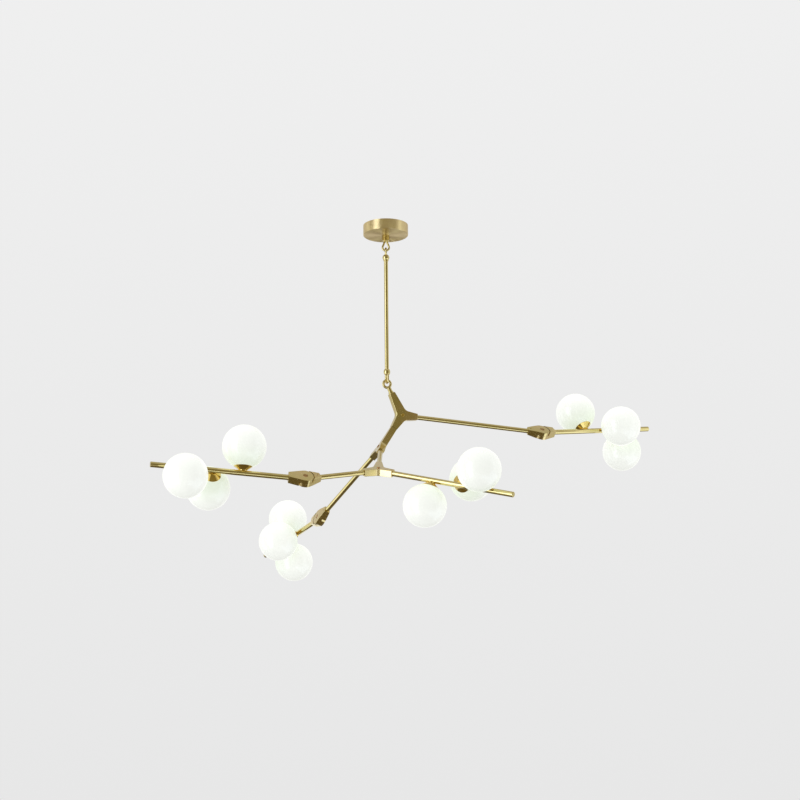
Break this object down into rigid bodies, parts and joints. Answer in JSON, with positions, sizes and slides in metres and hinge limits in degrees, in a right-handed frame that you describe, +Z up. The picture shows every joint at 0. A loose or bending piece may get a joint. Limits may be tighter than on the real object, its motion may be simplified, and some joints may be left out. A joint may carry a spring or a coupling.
{
  "type": "branch chandelier",
  "caption": "Branch chandelier: a thin rod hung from a round ceiling canopy carries cast brass Y hubs, adjustable elbowed arms and opal glass globe lamps.",
  "frame": {"origin": "on the ceiling plane, on the axis of the round canopy", "axes": "+Z up; +X to the right and +Y away from the viewer of the picture, along the ceiling"},
  "size_m": [1.2308, 1.0382, 0.8356],
  "materials": {
    "satin_brass": "brushed, pale satin brass",
    "zinc_steel": "zinc plated",
    "white_ceramic": "matte white",
    "bulb_glass": "frosted capsule",
    "opal_glass": "satin opal white, lit"
  },
  "bodies": {
    "ceiling": {"ceiling_crossbar": "zinc_steel", "canopy_cup": "satin_brass", "canopy_nipple": "satin_brass", "canopy_locknut": "satin_brass", "terminal_block": "white_ceramic", "ceiling_eye": "satin_brass"},
    "hanging_rod": {"rod_top_eye": "satin_brass", "down_rod": "satin_brass", "rod_bottom_eye": "satin_brass"},
    "upper_hub": {"hub_eye": "satin_brass", "upper_hub_body": "satin_brass", "upper_hub_cover": "satin_brass", "upper_hub_screws": "satin_brass"},
    "middle_hub": {"middle_hub_body": "satin_brass", "middle_hub_cover": "satin_brass", "middle_hub_screws": "satin_brass"},
    "lower_hub": {"hub_link": "satin_brass", "lower_hub_body": "satin_brass", "lower_hub_cover": "satin_brass", "lower_hub_screws": "satin_brass"},
    "left_arm": {"left_rod": "satin_brass", "left_elbow_inner": "satin_brass", "left_elbow_screws": "satin_brass"},
    "left_lamps": {"left_elbow_outer": "satin_brass", "left_lamp_tube": "satin_brass", "left_cups": "satin_brass", "left_lampholders": "white_ceramic", "left_bulbs": "bulb_glass", "left_globe_1": "opal_glass", "left_globe_2": "opal_glass", "left_globe_3": "opal_glass"},
    "rear_arm": {"rear_rod": "satin_brass", "rear_elbow_inner": "satin_brass", "rear_elbow_screws": "satin_brass"},
    "rear_lamps": {"rear_elbow_outer": "satin_brass", "rear_lamp_tube": "satin_brass", "rear_cups": "satin_brass", "rear_lampholders": "white_ceramic", "rear_bulbs": "bulb_glass", "rear_globe_1": "opal_glass", "rear_globe_2": "opal_glass", "rear_globe_3": "opal_glass"},
    "right_arm": {"right_rod": "satin_brass", "right_elbow_inner": "satin_brass", "right_elbow_screws": "satin_brass"},
    "right_lamps": {"right_elbow_outer": "satin_brass", "right_lamp_tube": "satin_brass", "right_cups": "satin_brass", "right_lampholders": "white_ceramic", "right_bulbs": "bulb_glass", "right_globe_1": "opal_glass", "right_globe_2": "opal_glass", "right_globe_3": "opal_glass"},
    "front_lamps": {"front_lamp_tube": "satin_brass", "front_cups": "satin_brass", "front_lampholders": "white_ceramic", "front_bulbs": "bulb_glass", "front_globe_1": "opal_glass", "front_globe_2": "opal_glass", "front_globe_3": "opal_glass"}
  },
  "joints": [
    {"name": "rod_swing", "type": "hinge", "parent": "ceiling", "child": "hanging_rod", "pos_m": [0, 0, -0.067], "axis": [1, 0, 0], "range_deg": [-30, 30]},
    {"name": "frame_swing", "type": "hinge", "parent": "hanging_rod", "child": "upper_hub", "pos_m": [0, 0, -0.41295], "axis": [0.3584, -0.9336, 0], "range_deg": [-25, 25]},
    {"name": "middle_hub_turn", "type": "hinge", "parent": "upper_hub", "child": "middle_hub", "pos_m": [0.01501, 0.01302, -0.5267], "axis": [-0.5201, -0.1445, -0.8418], "range_deg": [-170, 170]},
    {"name": "lower_hub_turn", "type": "hinge", "parent": "middle_hub", "child": "lower_hub", "pos_m": [-0.01746, -0.03195, -0.59538], "axis": [-0.0161, -0.9032, -0.429], "range_deg": [-170, 170]},
    {"name": "left_rod_turn", "type": "hinge", "parent": "lower_hub", "child": "left_arm", "pos_m": [-0.05552, -0.22621, -0.68615], "axis": [-0.8733, -0.4536, -0.1778], "range_deg": [-170, 170]},
    {"name": "left_elbow", "type": "hinge", "parent": "left_arm", "child": "left_lamps", "pos_m": [-0.18913, -0.29562, -0.71336], "axis": [0.2297, -0.7051, 0.6709], "range_deg": [-54, 90]},
    {"name": "rear_rod_turn", "type": "hinge", "parent": "middle_hub", "child": "rear_arm", "pos_m": [-0.03698, 0.03452, -0.59473], "axis": [-0.504, 0.7587, -0.4128], "range_deg": [-170, 170]},
    {"name": "rear_elbow", "type": "hinge", "parent": "rear_arm", "child": "rear_lamps", "pos_m": [-0.17759, 0.24619, -0.7099], "axis": [-0.861, -0.4038, 0.3091], "range_deg": [-54, 89]},
    {"name": "right_rod_turn", "type": "hinge", "parent": "upper_hub", "child": "right_arm", "pos_m": [0.07308, 0.03322, -0.49477], "axis": [0.9317, 0.3605, -0.0435], "range_deg": [-170, 170]},
    {"name": "right_elbow", "type": "hinge", "parent": "right_arm", "child": "right_lamps", "pos_m": [0.3936, 0.15723, -0.50975], "axis": [0.2779, -0.6306, 0.7246], "range_deg": [-87, 57]},
    {"name": "front_tube_turn", "type": "hinge", "parent": "lower_hub", "child": "front_lamps", "pos_m": [0.0137, -0.22605, -0.68909], "axis": [0.8572, -0.4495, -0.2512], "range_deg": [-170, 170]}
  ]
}
